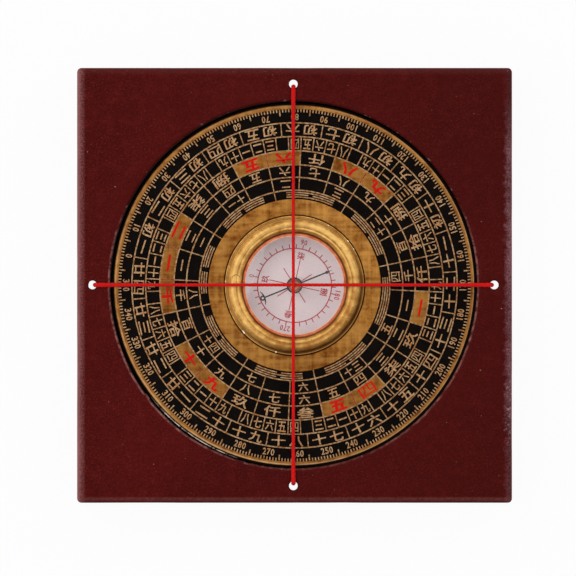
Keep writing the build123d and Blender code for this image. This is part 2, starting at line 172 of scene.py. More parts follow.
class Finish:
    """A node material with one principled shader, and short names for the nodes that drive it."""

    def __init__(self, name, roughness=0.5, metallic=0.0, **settings):
        self.material = bpy.data.materials.new(name)
        self.material.use_nodes = True
        self.tree = self.material.node_tree
        self.tree.nodes.clear()
        self.output = self.node("OutputMaterial")
        self.shader = self.node("BsdfPrincipled")
        self.put(self.shader.outputs[0], self.output.inputs[0])
        self.put(roughness, self.shader.inputs["Roughness"])
        self.put(metallic, self.shader.inputs["Metallic"])
        for key, value in settings.items():
            self.put(value, self.shader.inputs[key.replace("_", " ")])
        self.place = self.node("TexCoord").outputs["Object"]
        self.xyz = None
        self.tint = None

    def node(self, kind):
        """A new node of the material."""
        return self.tree.nodes.new("ShaderNode" + kind)

    def put(self, value, socket):
        """Feeds a socket from a node's output, a number or a colour."""
        if isinstance(value, bpy.types.NodeSocket):
            self.tree.links.new(value, socket)
        else:
            socket.default_value = value

    def axis(self, index):
        """X, Y or Z of the surface point in millimetres."""
        if self.xyz is None:
            node = self.node("SeparateXYZ")
            self.put(self.place, node.inputs[0])
            self.xyz = [self.times(output, MM_PER_METRE) for output in node.outputs]
        return self.xyz[index]

    def math(self, operation, first, second=0.0):
        """Result of a math node."""
        node = self.node("Math")
        node.operation = operation
        self.put(first, node.inputs[0])
        self.put(second, node.inputs[1])
        return node.outputs[0]

    def times(self, *values):
        """Product of several values."""
        product = values[0]
        for value in values[1:]:
            product = self.math("MULTIPLY", product, value)
        return product

    def distance(self, x, y):
        """Length of the vector with the parts x and y."""
        return self.math("SQRT", self.math("ADD", self.math("POWER", x, 2.0), self.math("POWER", y, 2.0)))

    def reach(self):
        """Distance from the Z axis in millimetres."""
        return self.distance(self.axis(0), self.axis(1))

    def angle(self):
        """Angle about the Z axis."""
        return self.times(self.math("ARCTAN2", self.axis(1), self.axis(0)), math.degrees(1))

    def toward(self, azimuth):
        """1 on the side of the Z axis that faces an azimuth, 0 across it and -1 behind it."""
        east, north = polar(1, azimuth)
        along = self.math("ADD", self.times(self.axis(0), east), self.times(self.axis(1), north))
        return self.math("DIVIDE", along, self.reach())

    def span(self, value, start, end, out_start=0.0, out_end=1.0):
        """Maps start..end to out_start..out_end, held at the ends."""
        node = self.node("MapRange")
        for number, socket in zip((value, start, end, out_start, out_end), node.inputs[:5]):
            self.put(number, socket)
        return node.outputs[0]

    def band(self, value, low, high, soft=0.05):
        """1 where the value is between low and high, with soft ends."""
        rise = self.span(value, low - soft, low + soft)
        fall = self.span(value, high + soft, high - soft)
        return self.times(rise, fall)

    def noise(self, size, detail, roughness=0.55, stretch=None, where=None, distortion=0.0):
        """Noise from 0 to 1 with features about size millimetres across."""
        node = self.node("TexNoise")
        source = self.place if where is None else where
        if stretch:
            scaling = self.node("Mapping")
            self.put(stretch, scaling.inputs["Scale"])
            self.put(source, scaling.inputs["Vector"])
            source = scaling.outputs[0]
        self.put(source, node.inputs["Vector"])
        self.put(MM_PER_METRE / size, node.inputs["Scale"])
        self.put(detail, node.inputs["Detail"])
        self.put(roughness, node.inputs["Roughness"])
        self.put(distortion, node.inputs["Distortion"])
        return node.outputs[0]

    def cells(self, size):
        """Distance in a cell pattern with cells about size millimetres across."""
        node = self.node("TexVoronoi")
        self.put(self.place, node.inputs["Vector"])
        self.put(MM_PER_METRE / size, node.inputs["Scale"])
        return node.outputs["Distance"]

    def mix(self, share, first, second):
        """Colour between two colours."""
        node = self.node("Mix")
        node.data_type = "RGBA"
        self.put(share, node.inputs[0])
        self.put(first, node.inputs[6])
        self.put(second, node.inputs[7])
        return node.outputs[2]

    def colour(self, value):
        """Sets the colour so far."""
        self.tint = value
        self.put(value, self.shader.inputs["Base Color"])

    def coat(self, share, value):
        """Lays another colour over the colour so far."""
        self.colour(self.mix(share, self.tint, value))

    def rough(self, value):
        """Sets the roughness."""
        self.put(value, self.shader.inputs["Roughness"])

    def bump(self, height, depth, strength):
        """Bump from a height of 0 to 1 that stands for a depth; several bumps add up."""
        node = self.node("Bump")
        self.put(strength, node.inputs["Strength"])
        self.put(depth * MM, node.inputs["Distance"])
        self.put(height, node.inputs["Height"])
        normal = self.shader.inputs["Normal"]
        if normal.is_linked:
            self.put(normal.links[0].from_socket, node.inputs["Normal"])
        self.put(node.outputs[0], normal)

    def swap(self, share, other):
        """Shows another shader in place of this one by a share from 0 to 1."""
        blend = self.node("MixShader")
        self.put(share, blend.inputs[0])
        self.put(self.shader.outputs[0], blend.inputs[1])
        self.put(other.outputs[0], blend.inputs[2])
        self.put(blend.outputs[0], self.output.inputs[0])


def dress(piece, finish):
    """Gives a piece its material."""
    piece.data.materials.clear()
    piece.data.materials.append(finish.material)


def leather_finish():
    """Leather with a fine pebbled grain; painted shade on the well's rounding and toward the right, a pale
    line round the well that is painted highlight and wear, and painted sheen along its edges.
    """
    skin = Finish("leather_skin", Specular_IOR_Level=0.04)
    across, along, height = skin.axis(0), skin.axis(1), skin.axis(2)
    reach = skin.reach()
    near_top = skin.span(height, 13.2, 14.4)
    cloud = skin.noise(24, 4, 0.6)
    patch = skin.noise(2.6, 4, 0.65)
    fine = skin.noise(0.9, 3, 0.6)
    nick = skin.noise(0.7, 3, 0.6)
    grain = skin.noise(0.38, 2, 0.5)
    coarse = skin.span(skin.noise(9, 3, 0.6), 0.35, 0.6, 0.4, 1.0)
    skin.colour(skin.mix(skin.span(cloud, 0.35, 0.68), srgb(76, 11, 9), srgb(88, 15, 12)))
    skin.coat(skin.span(fine, 0.3, 0.75, 0.0, 0.5), srgb(56, 8, 6))
    skin.coat(skin.span(patch, 0.5, 0.75, 0.0, 0.3), srgb(112, 30, 26))
    skin.coat(skin.times(skin.span(grain, 0.55, 0.72, 0.0, 0.5), coarse), srgb(126, 42, 36))
    skin.coat(skin.times(skin.span(grain, 0.44, 0.3, 0.0, 0.6), coarse), srgb(46, 6, 5))
    # Painted shade: darker toward the right edge, away from the key light
    skin.coat(skin.span(across, -30.0, 46.0, 0.0, 0.3), srgb(54, 10, 8))
    # Rim of the well: painted shade on the rounding, a pale line below and in the east that is painted
    # highlight and wear, and a few nicks
    rounding = skin.times(skin.band(height, 15.5, 15.95, 0.03), skin.span(reach, 43.6, 43.4))
    skin.coat(skin.times(rounding, 0.35), srgb(44, 9, 8))
    lower = skin.math("DIVIDE", skin.math("ADD", along, skin.times(across, 0.25)), reach)
    east = skin.span(skin.toward(356), 0.86, 0.96)
    highlight_and_wear_part = skin.math("MAXIMUM", skin.span(lower, 0.2, -0.1), skin.times(east, 0.8))
    bottom = skin.span(skin.math("DIVIDE", along, reach), -0.75, -0.95, 1.0, 0.35)
    painted_light_and_wear = skin.span(skin.noise(1.6, 4, 0.7), 0.4, 0.6, 0.1, 1.0)
    cover = skin.math("ADD", skin.span(across, 0.0, 20.0, 0.85, 0.6), skin.times(east, 0.3))
    skin.coat(skin.times(highlight_and_wear_part, bottom, painted_light_and_wear, rounding, cover), srgb(164, 108, 100))
    chip = skin.span(skin.noise(1.1, 2, 0.5), 0.64, 0.7, 0.0, 0.6)
    skin.coat(skin.times(chip, rounding), srgb(132, 98, 98))
    # Painted sheen along the left edge, broken into streaks of pebbles
    pebble = skin.times(skin.span(grain, 0.36, 0.62, 0.25, 1.0), near_top)
    streak = skin.span(skin.noise(5, 3, 0.6, stretch=(1.0, 0.3, 1.0)), 0.3, 0.62, 0.5, 1.0)
    shine = skin.times(skin.span(across, -48.7, -49.6), near_top)
    left = skin.times(skin.span(across, -48.0, -49.5), streak, skin.math("MAXIMUM", pebble, shine))
    skin.coat(skin.times(left, 0.88), srgb(162, 104, 104))
    # Painted sheen along the right edge, paler and wavier, which fades toward its ends
    wavy = skin.math("ADD", across, skin.span(skin.noise(1.6, 3, 0.6), 0.3, 0.7, -0.7, 0.5))
    upper_end = skin.span(along, 42.0, 30.0, 0.15, 1.0)
    lower_end = skin.span(along, -36.0, -20.0, 0.35, 1.0)
    right = skin.times(skin.span(wavy, 47.9, 49.3), upper_end, lower_end, pebble, streak)
    skin.coat(skin.times(right, 0.9), srgb(152, 106, 112))
    # Faint painted sheen along the front and back edges, scuffs low on the right edge, and specks
    front = skin.times(skin.band(along, -49.5, -48.7, 0.2), skin.span(nick, 0.35, 0.6, 0.4, 1.0), near_top)
    skin.coat(skin.times(front, 0.4), srgb(128, 76, 72))
    skin.coat(skin.times(skin.span(along, 48.2, 49.4, 0.0, 0.14), near_top), srgb(128, 76, 72))
    low_right = skin.times(skin.band(wavy, 48.4, 51.0, 0.6), near_top, skin.band(along, -36.0, -22.0, 3.0))
    skin.coat(skin.times(low_right, skin.span(nick, 0.56, 0.66), 0.6), srgb(186, 156, 158))
    skin.coat(skin.times(skin.span(skin.noise(0.8, 1, 0.5), 0.79, 0.82), 0.6), srgb(190, 150, 142))
    skin.rough(skin.span(fine, 0.3, 0.7, 0.42, 0.6))
    skin.bump(skin.span(skin.cells(0.45), 0.0, 0.6), 0.05, 0.6)
    skin.bump(fine, 0.04, 0.6)
    skin.bump(cloud, 0.25, 0.4)
    return skin


def plate_finish():
    """Etched brass: wide areas are tarnished and cross-brushed, lines are pale, and the floor is enamel."""
    plate = Finish("etched_brass", Specular_IOR_Level=0.015)
    reach = plate.reach()
    on_top = plate.span(plate.axis(2), 14.1, 14.17)
    low_left = plate.toward(235)
    # Distance to the nearest divider of the mountain ring, which is narrow and so stays pale
    first_divider = DIAL_NORTH + 360 + MOUNTAIN_STEP / 2
    cells_round = plate.math("DIVIDE", plate.math("SUBTRACT", first_divider, plate.angle()), MOUNTAIN_STEP)
    divider = plate.times(plate.math("PINGPONG", cells_round, 0.5), reach, math.radians(MOUNTAIN_STEP))
    mountain_brass = plate.times(plate.band(reach, *MOUNTAIN_BAND), plate.span(divider, 0.13, 0.17))
    wide = plate.math("MAXIMUM", plate.band(reach, *RIM_BAND), plate.band(reach, *BARE_BAND))
    wide = plate.math("MAXIMUM", wide, mountain_brass)
    cloud = plate.noise(3.2, 5, 0.7)
    spots = plate.noise(0.6, 3, 0.6)
    brush_x = plate.noise(1.3, 2, 0.6, stretch=(0.07, 1.0, 1.0))
    brush_y = plate.noise(1.3, 2, 0.6, stretch=(1.0, 0.07, 1.0))
    brush = plate.times(plate.math("ADD", brush_x, brush_y), 0.5)
    plate.colour(plate.mix(plate.span(cloud, 0.38, 0.62), srgb(114, 61, 17), srgb(173, 116, 50)))
    plate.coat(plate.span(spots, 0.58, 0.72, 0.0, 0.7), srgb(92, 44, 12))
    plate.coat(plate.span(brush, 0.42, 0.6, 0.0, 0.5), srgb(212, 156, 80))
    plate.coat(plate.times(mountain_brass, 0.3), srgb(96, 52, 18))
    # Wide areas a little darker toward the lower left
    plate.coat(plate.span(low_left, -0.8, 0.6, 0.04, 0.24), srgb(92, 50, 18))
    line = plate.mix(plate.span(spots, 0.4, 0.6), srgb(179, 145, 107), srgb(134, 89, 53))
    plate.colour(plate.mix(wide, line, plate.tint))
    # Rim: darker brown, with a line of light that is strong in the lower left, and a dark outer edge
    plate.coat(plate.times(plate.band(reach, 40.4, 43.0), 0.2), srgb(112, 58, 18))
    broken = plate.span(plate.noise(6, 3, 0.6), 0.36, 0.55, 0.35, 1.0)
    rim_share = plate.span(low_left, 0.3, 0.9, 0.22, 0.42)
    plate.coat(plate.times(plate.band(reach, 41.05, 41.3, 0.1), broken, rim_share), srgb(250, 214, 164))
    plate.coat(plate.times(plate.band(reach, 40.35, 40.62, 0.06), 0.5), srgb(60, 30, 14))
    top_shade = plate.span(plate.toward(100), 0.3, 0.8, 0.0, 0.35)
    plate.coat(plate.times(plate.span(reach, 41.0, 41.3), top_shade), srgb(96, 46, 14))
    edge = plate.math("SUBTRACT", reach, plate.times(plate.toward(160), 0.14))
    plate.coat(plate.span(edge, 41.36, 41.44), srgb(28, 18, 14))
    # Painted shade and grime against the bezel's flange
    plate.coat(plate.times(plate.band(reach, 15.9, 16.32, 0.06), 0.95), srgb(20, 8, 3))
    enamel = plate.mix(plate.span(plate.noise(5, 4, 0.6), 0.35, 0.7), srgb(12, 9, 7), srgb(18, 14, 12))
    plate.colour(plate.mix(on_top, enamel, plate.tint))
    # Chipped enamel on the outer step of the plate, in its lower left
    chipped = plate.times(plate.band(reach, 41.7, 42.0), plate.span(low_left, 0.955, 0.985))
    chipped = plate.times(chipped, plate.span(plate.noise(1.8, 3, 0.6), 0.4, 0.55))
    plate.coat(chipped, srgb(246, 232, 214))
    plate.put(plate.times(on_top, 0.9), plate.shader.inputs["Metallic"])
    plate.rough(plate.span(on_top, 0.0, 1.0, 0.42, 0.44))
    plate.bump(brush, 0.01, 0.5)
    plate.bump(cloud, 0.02, 0.4)
    return plate


def raised_brass():
    """Narrow raised brass of the signs and ticks."""
    metal = Finish("raised_brass", roughness=0.45, metallic=0.85)
    spots = metal.noise(0.5, 3, 0.6)
    cloud = metal.noise(3, 3, 0.6)
    metal.colour(metal.mix(metal.span(spots, 0.4, 0.65), srgb(188, 153, 114), srgb(147, 101, 61)))
    metal.coat(metal.span(cloud, 0.45, 0.65, 0.0, 0.5), srgb(160, 102, 50))
    metal.bump(spots, 0.02, 0.5)
    return metal


def red_print(name, light, dark, grain=0.5):
    """Printed or filled ink with uneven cover."""
    ink = Finish(name, Specular_IOR_Level=0.1)
    ink.colour(ink.mix(ink.span(ink.noise(grain, 3, 0.6), 0.35, 0.7), light, dark))
    ink.bump(ink.noise(grain, 2), 0.01, 0.4)
    return ink


def turned_metal(name, dark, light, roughness, grooves=0.12, tarnish=2.5, shade_and_grime_lines=(), painted_light_and_wear=None):
    """Lathe-turned metal: faint rings about the Z axis, tarnish, small pits, dark lines at given radii that
    are grime and painted shade in creases and joints, and painted light and wear from a given function.
    """
    metal = Finish(name, metallic=1.0, Anisotropic=0.35)
    around_axis = metal.node("Tangent")
    around_axis.direction_type = "RADIAL"
    around_axis.axis = "Z"
    metal.put(around_axis.outputs[0], metal.shader.inputs["Tangent"])
    reach = metal.reach()
    section = metal.node("CombineXYZ")
    metal.put(reach, section.inputs[0])
    metal.put(metal.axis(2), section.inputs[1])
    rings = metal.noise(MM_PER_METRE * grooves, 2, 0.6, where=section.outputs[0])
    cloud = metal.noise(tarnish, 5, 0.65)
    pits = metal.noise(0.35, 2, 0.6)
    metal.colour(metal.mix(metal.span(cloud, 0.35, 0.66), dark, light))
    metal.coat(metal.span(pits, 0.63, 0.74, 0.0, 0.75), srgb(74, 38, 18))
    # Dark lines of grime and painted shade in creases and joints
    for inner, outer, share in shade_and_grime_lines:
        metal.coat(metal.times(metal.band(reach, inner, outer, 0.06), share), srgb(48, 15, 3))
    if painted_light_and_wear:
        painted_light_and_wear(metal)
    metal.rough(metal.span(cloud, 0.3, 0.7, roughness + 0.08, roughness - 0.06))
    metal.bump(rings, 0.01, 0.35)
    metal.bump(pits, 0.02, 0.3)
    metal.bump(metal.noise(0.8, 3, 0.6), 0.03, 0.35)
    return metal


def bezel_wear(metal):
    """Painted highlights and painted shade in bands that differ round the bezel, over mottled tarnish, with
    pale flecks and the painted shaded edge of one dent.
    """
    reach = metal.reach()
    metal.coat(metal.span(metal.noise(1.0, 4, 0.7), 0.38, 0.62, 0.0, 0.3), srgb(150, 98, 42))
    left = metal.span(metal.toward(190), 0.6, 0.95)
    upper_left = metal.span(metal.toward(135), 0.5, 0.95)
    upper_right = metal.span(metal.toward(45), 0.5, 0.95)
    lower_left = metal.span(metal.toward(225), 0.5, 0.95)
    lower_right = metal.span(metal.toward(303), -0.15, 0.8)
    elsewhere = metal.math("SUBTRACT", 1.0, lower_right)
    upper = metal.span(metal.axis(1), 1.0, 11.0)
    painted_highlight_colour, painted_shade_colour = srgb(255, 216, 134), srgb(110, 64, 26)
    # Painted highlights and painted shade: part of the circle, inner and outer radius, softness, share and
    # colour
    bands = (
        (left, 13.8, 14.5, 0.25, 0.4, painted_highlight_colour),
        (left, 12.7, 13.1, 0.1, 0.45, painted_highlight_colour),
        (elsewhere, 15.1, 15.55, 0.1, 0.6, painted_highlight_colour),
        (elsewhere, 15.8, 15.96, 0.06, 0.2, painted_shade_colour),
        (upper_right, 13.75, 14.7, 0.2, 0.5, painted_highlight_colour),
        (upper_right, 13.0, 13.25, 0.08, 0.5, painted_highlight_colour),
        (upper_left, 13.5, 14.3, 0.2, 0.35, painted_highlight_colour),
        (upper_left, 14.5, 14.95, 0.12, 0.3, painted_shade_colour),
        (lower_left, 14.3, 14.95, 0.15, 0.25, painted_shade_colour),
        (lower_right, 13.35, 13.95, 0.15, 0.5, painted_shade_colour),
        (lower_right, 12.2, 12.75, 0.15, 0.5, painted_shade_colour),
        (upper, 12.0, 12.9, 0.15, 0.6, srgb(96, 44, 16)),
    )
    for part, inner, outer, soft, share, colour in bands:
        metal.coat(metal.times(part, metal.band(reach, inner, outer, soft), share), colour)
    # Painted shade on the outer slope in the lower right, and a painted highlight along the flange there
    metal.coat(metal.times(metal.span(reach, 13.9, 15.0), lower_right, 0.78), srgb(80, 44, 14))
    metal.coat(metal.times(lower_right, metal.band(reach, 15.8, 15.92), 0.3), srgb(240, 180, 110))
    # The dent's shaded edge is painted dark: the upper part of a small circle on the left
    dent_x = metal.math("ADD", metal.axis(0), 13.4)
    dent_y = metal.math("SUBTRACT", metal.axis(1), 1.5)
    dent_circle = metal.band(metal.distance(dent_x, dent_y), 0.84, 1.0, 0.06)
    dent = metal.times(dent_circle, metal.span(metal.axis(1), 1.2, 1.7))
    metal.coat(metal.times(dent, 0.8), srgb(70, 34, 10))
    fleck = metal.span(metal.noise(1.6, 2, 0.5), 0.66, 0.69)
    metal.coat(metal.times(metal.band(reach, 15.75, 16.2), fleck), srgb(246, 236, 214))


def copper_wear(metal):
    """Painted shade on the outer half of the copper ring's rounded section, and one painted highlight line
    near its inner edge.
    """
    reach = metal.reach()
    metal.coat(metal.span(reach, 11.5, 12.0, 0.0, 0.75), srgb(152, 64, 30))
    metal.coat(metal.times(metal.band(reach, 11.3, 11.42), 0.6), srgb(252, 196, 166))


def felt_finish(name, dark, light):
    """Fuzzy felt."""
    felt = Finish(name, roughness=0.95, Sheen_Weight=0.25)
    fuzz = felt.noise(0.35, 4, 0.75, distortion=1.5)
    felt.colour(felt.mix(felt.span(fuzz, 0.3, 0.7), dark, light))
    felt.bump(fuzz, 0.15, 0.8)
    return felt


def board_finish(name, shade, dark, light):
    """Pressed fibre board."""
    board = Finish(name, roughness=0.85, Specular_IOR_Level=0.1)
    fibre = board.noise(0.5, 4, 0.7, stretch=(1.0, 1.0, 3.0))
    board.colour(board.mix(board.span(fibre, 0.3, 0.7), dark, light))
    board.coat(board.span(board.noise(3, 3, 0.6), 0.4, 0.75, 0.0, 0.5), shade)
    board.bump(fibre, 0.06, 0.6)
    return board


def card_finish():
    """White card with painted shade toward the lower right, which evens it out against the bezel's shadow in
    the upper left.
    """
    paper = Finish("printed_card", roughness=0.75)
    fibre = paper.noise(0.5, 4, 0.7)
    cloud = paper.noise(7, 3, 0.6)
    paper.colour(paper.mix(paper.span(cloud, 0.35, 0.68), srgb(251, 235, 234), srgb(246, 227, 228)))
    # Painted shade, a little darker toward the lower right
    paper.coat(paper.span(paper.toward(320), -0.2, 0.9, 0.0, 0.3), srgb(214, 196, 198))
    paper.coat(paper.span(fibre, 0.55, 0.8, 0.0, 0.4), srgb(210, 186, 190))
    paper.bump(fibre, 0.02, 0.4)
    return paper


def glass_finish():
    """Clear glass that lets the lamps' light through to the card."""
    glass = Finish("crystal_glass", Transmission_Weight=1.0, IOR=1.5)
    glass.colour((0.99, 0.99, 0.985, 1))
    glass.rough(glass.span(glass.noise(4, 3, 0.6), 0.5, 0.8, 0.01, 0.05))
    glass.swap(glass.node("LightPath").outputs["Is Shadow Ray"], glass.node("BsdfTransparent"))
    return glass


def cord_finish():
    """Red twisted thread."""
    cord = Finish("cord_red", roughness=0.72, Specular_IOR_Level=0.12, Sheen_Weight=0.08)
    fibre = cord.noise(0.25, 3, 0.7)
    cord.colour(cord.mix(cord.span(fibre, 0.3, 0.7), srgb(196, 5, 6), srgb(244, 18, 16)))
    cord.coat(cord.span(cord.noise(6, 2, 0.5), 0.4, 0.7, 0.0, 0.3), srgb(196, 5, 7))
    cord.bump(fibre, 0.06, 0.7)
    return cord


def needle_finish():
    """Blackened steel."""
    metal = Finish("blackened_steel", roughness=0.38, metallic=0.6)
    cloud = metal.noise(0.9, 3, 0.6)
    metal.colour(metal.mix(metal.span(cloud, 0.35, 0.7), srgb(9, 8, 9), srgb(26, 24, 25)))
    metal.bump(cloud, 0.01, 0.4)
    return metal


def disc_finish():
    """Moulded black plastic."""
    disc = Finish("moulded_black")
    cloud = disc.noise(2.0, 4, 0.65)
    disc.colour(disc.mix(disc.span(cloud, 0.35, 0.7), srgb(14, 12, 12), srgb(34, 30, 29)))
    disc.rough(disc.span(cloud, 0.3, 0.7, 0.42, 0.6))
    disc.bump(disc.noise(0.4, 3, 0.6), 0.02, 0.5)
    return disc


def jewel_finish():
    """Polished red jewel."""
    jewel = Finish("jewel_red", roughness=0.12, IOR=1.76)
    cloud = jewel.noise(0.4, 3, 0.6)
    jewel.colour(jewel.mix(jewel.span(cloud, 0.35, 0.7), srgb(120, 8, 20), srgb(176, 22, 40)))
    return jewel


leather = leather_finish()
sign_metal = raised_brass()
cord_red = cord_finish()
card_white = card_finish()
# Copper ring: dark lines of painted shade and grime, the outer one at its joint with the bezel
copper = turned_metal(
    "ring_copper", srgb(188, 94, 58), srgb(240, 156, 112), 0.35, grooves=0.06, tarnish=1.6,
    shade_and_grime_lines=((11.5, 11.6, 0.5), (11.9, 12.1, 0.7)), painted_light_and_wear=copper_wear,
)
# Bezel: dark lines of painted shade and grime at the crevice by the copper ring, in the valley behind the
# bead, where the roll meets the flange and round the flange's edge
bezel_brass = turned_metal(
    "bezel_brass", srgb(176, 117, 50), srgb(247, 196, 112), 0.5, grooves=0.1, tarnish=2.6,
    shade_and_grime_lines=((11.9, 12.26, 0.7), (13.26, 13.46, 0.3), (15.6, 15.76, 0.85), (15.98, 16.2, 0.9)), painted_light_and_wear=bezel_wear,
)
node_finishes = {
    "base_board": board_finish("base_fibre", srgb(26, 18, 15), srgb(34, 24, 20), srgb(52, 38, 31)),
    "frame_board": board_finish("frame_fibre", srgb(20, 13, 12), srgb(20, 14, 12), srgb(36, 24, 21)),
    "infill_sheet": board_finish("infill_card", srgb(92, 84, 74), srgb(104, 96, 86), srgb(136, 126, 112)),
    "felt_backing": felt_finish("backing_felt", srgb(12, 10, 10), srgb(38, 33, 32)),
    "glide_ring": felt_finish("glide_felt", srgb(24, 24, 24), srgb(52, 51, 50)),
    "dial_disc": disc_finish(),
    "dial_plate": plate_finish(),
    "compass_cup": turned_metal("cup_brass", srgb(150, 102, 50), srgb(206, 160, 92), 0.32),
    "compass_card": card_white,
    "pivot_boss": turned_metal("boss_brass", srgb(170, 118, 62), srgb(214, 168, 100), 0.28),
    "pivot_pin": turned_metal("pin_steel", srgb(150, 150, 154), srgb(196, 196, 200), 0.25),
    "spacer_ring": card_white,
    "crystal": glass_finish(),
    "retaining_ring": copper,
    "bezel": bezel_brass,
    "needle": needle_finish(),
    "needle_cap": turned_metal("cap_brass", srgb(150, 92, 52), srgb(222, 160, 112), 0.25),
    "needle_jewel": jewel_finish(),
}
for node_name, node_finish in node_finishes.items():
    dress(nodes[node_name], node_finish)


def piece_from(name, vertices, faces, finish, body):
    """A finished piece of a body from its points in metres and its faces."""
    piece = meshed(name, vertices, faces)
    dress(piece, finish)
    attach(piece, body)
    return piece


def smoothed(piece):
    """The piece, with smooth shading."""
    piece.data.polygons.foreach_set("use_smooth", [True] * len(piece.data.polygons))
    return piece


# Each sign is made once, then set out round the dial
sign_cache = {}


def sign_outline(sign, weight):
    """Points and faces of one sign, raised from -0.5 to 0.5, and its box in the plane."""
    weight = min(weight, FRAIL_SIGNS.get(sign, weight))
    key = (sign, weight)
    if key not in sign_cache:
        curve = bpy.data.curves.new("sign", "FONT")
        curve.body = sign
        curve.size = 1.0
        curve.resolution_u = 2
        curve.offset = weight
        curve.extrude = 0.5
        item = linked("sign", curve)
        bpy.context.view_layer.update()
        mesh = bpy.data.meshes.new_from_object(item.evaluated_get(bpy.context.evaluated_depsgraph_get()))
        points = [vertex.co.copy() for vertex in mesh.vertices]
        faces = [tuple(face.vertices) for face in mesh.polygons]
        bpy.data.objects.remove(item)
        bpy.data.curves.remove(curve)
        bpy.data.meshes.remove(mesh)
        low = Vector((min(point.x for point in points), min(point.y for point in points)))
        high = Vector((max(point.x for point in points), max(point.y for point in points)))
        sign_cache[key] = (points, faces, low, high)
    return sign_cache[key]


class Relief:
    """Collects signs and bars between two heights for one joined mesh piece on the dial."""

    # Sizes of a full sign, so that a flat or narrow one isn't stretched to the whole cell
    FLAT_SIGNS = "一二三"
    FULL_HEIGHT = 0.86
    FULL_DIGIT_WIDTH = 0.44
    LEAST_SIZE = 0.2

    def __init__(self, low=SIGN_FOOT, high=SIGN_TOP):
        self.low = low
        self.high = high
        self.points = []
        self.faces = []

    def add(self, points, faces):
        """Adds points in metres and faces that count from the first of them."""
        start = len(self.points)
        self.points += points
        self.faces += [tuple(start + index for index in face) for face in faces]

    def sign(self, sign, radius, angle, width, height, shift, inward, weight):
        """Sets one sign at a radius and an angle, moved by shift along the ring."""
        points, faces, box_low, box_high = sign_outline(sign, weight)
        size = box_high - box_low
        middle = (box_high + box_low) / 2
        scale_x = width / (self.FULL_DIGIT_WIDTH if sign == "1" else max(size.x, self.LEAST_SIZE))
        scale_y = height / (self.FULL_HEIGHT if sign in self.FLAT_SIGNS else max(size.y, self.LEAST_SIZE))
        turn = angle + (90 if inward else -90)
        centre = Vector(polar(radius, angle))
        across = Vector(polar(1, turn))
        up = Vector((-across.y, across.x))
        placed = []
        for point in points:
            local = across * ((point.x - middle.x) * scale_x + shift) + up * ((point.y - middle.y) * scale_y)
            level = self.low + (point.z + 0.5) * (self.high - self.low)
            placed.append(mm(centre.x + local.x, centre.y + local.y, level))
        self.add(placed, faces)

    def row(self, text, radius, angle, width, height, pitch=0.0, inward=True, weight=0.018):
        """Sets signs side by side, with their middle at a radius and an angle."""
        for place, sign in enumerate(text):
            shift = (place - (len(text) - 1) / 2) * pitch
            self.sign(sign, radius, angle, width, height, shift, inward, weight)

    def bar(self, inner, outer, angle, width):
        """A straight radial bar."""
        along = Vector(polar(1, angle))
        across = Vector((-along.y, along.x)) * width / 2
        near, far = along * inner, along * outer
        corners = [near - across, far - across, far + across, near + across]
        points = [mm(corner.x, corner.y, height) for height in (self.low, self.high) for corner in corners]
        faces = [(4, 5, 6, 7), (0, 1, 5, 4), (1, 2, 6, 5), (2, 3, 7, 6), (3, 0, 4, 7), (3, 2, 1, 0)]
        self.add(points, faces)

    def hoop(self, inner, outer, count=120):
        """A flat ring."""
        corners = ((inner, self.low), (outer, self.low), (outer, self.high), (inner, self.high))
        points = []
        faces = []
        for index in range(count):
            points += [mm(*polar(radius, 360 * index / count), height) for radius, height in corners]
            a = 4 * index
            b = 4 * ((index + 1) % count)
            faces += [(a + k, b + k, b + (k + 1) % 4, a + (k + 1) % 4) for k in range(4)]
        self.add(points, faces)

    def piece(self, name, finish=sign_metal, slot="etched_brass"):
        """Makes the piece."""
        piece_from(name, self.points, self.faces, finish, "dial")


def mark(value, north=DIAL_NORTH):
    """Angle on the board of a mark that counts clockwise from north."""
    return north - value


def degree_ring():
    """Numbers at every tenth degree, and the ticks between the CAD's ticks at every fifth."""
    numbers = Relief()
    for value in range(0, 360, 10):
        angle = mark(value - (1.2 if value in EARLY_NUMBERS else 0.0))
        numbers.row(str(value), DEGREE_RADIUS, angle, width=0.82, height=1.55, pitch=0.95, weight=0.02)
    numbers.piece("degree_numbers")
    ticks = Relief()
    for value in range(360):
        if value % 5:
            ticks.bar(39.85, 40.6, mark(value), width=0.27)
    ticks.piece("degree_ticks")


def pair_ring():
    """Two signs in each of the 24 outer cells: the numbers from 1 to 24."""
    names = ["初" + sign for sign in COUNTING[:10]] + ["十" + sign for sign in COUNTING[:9]]
    names += ["二十", "廿一", "廿二", "廿三", "廿四"]
    ring = Relief()
    for index, pair in enumerate(names):
        ring.row(pair, PAIR_RADIUS, mark((index + 0.5) * MOUNTAIN_STEP), width=3.2, height=2.45, pitch=4.1)
    ring.piece("pair_signs")


def sixty_ring():
    """Signs in 60 of the 72 cells, with every sixth cell empty."""
    ring = Relief()
    filled = [index for index in range(SIXTY_COUNT) if index % 6 != 3]
    for count, index in enumerate(filled):
        ring.row(COUNTING[count % 10], SIXTY_RADIUS, mark(index * SIXTY_STEP), width=1.9, height=2.4)
    ring.piece("sixty_signs")


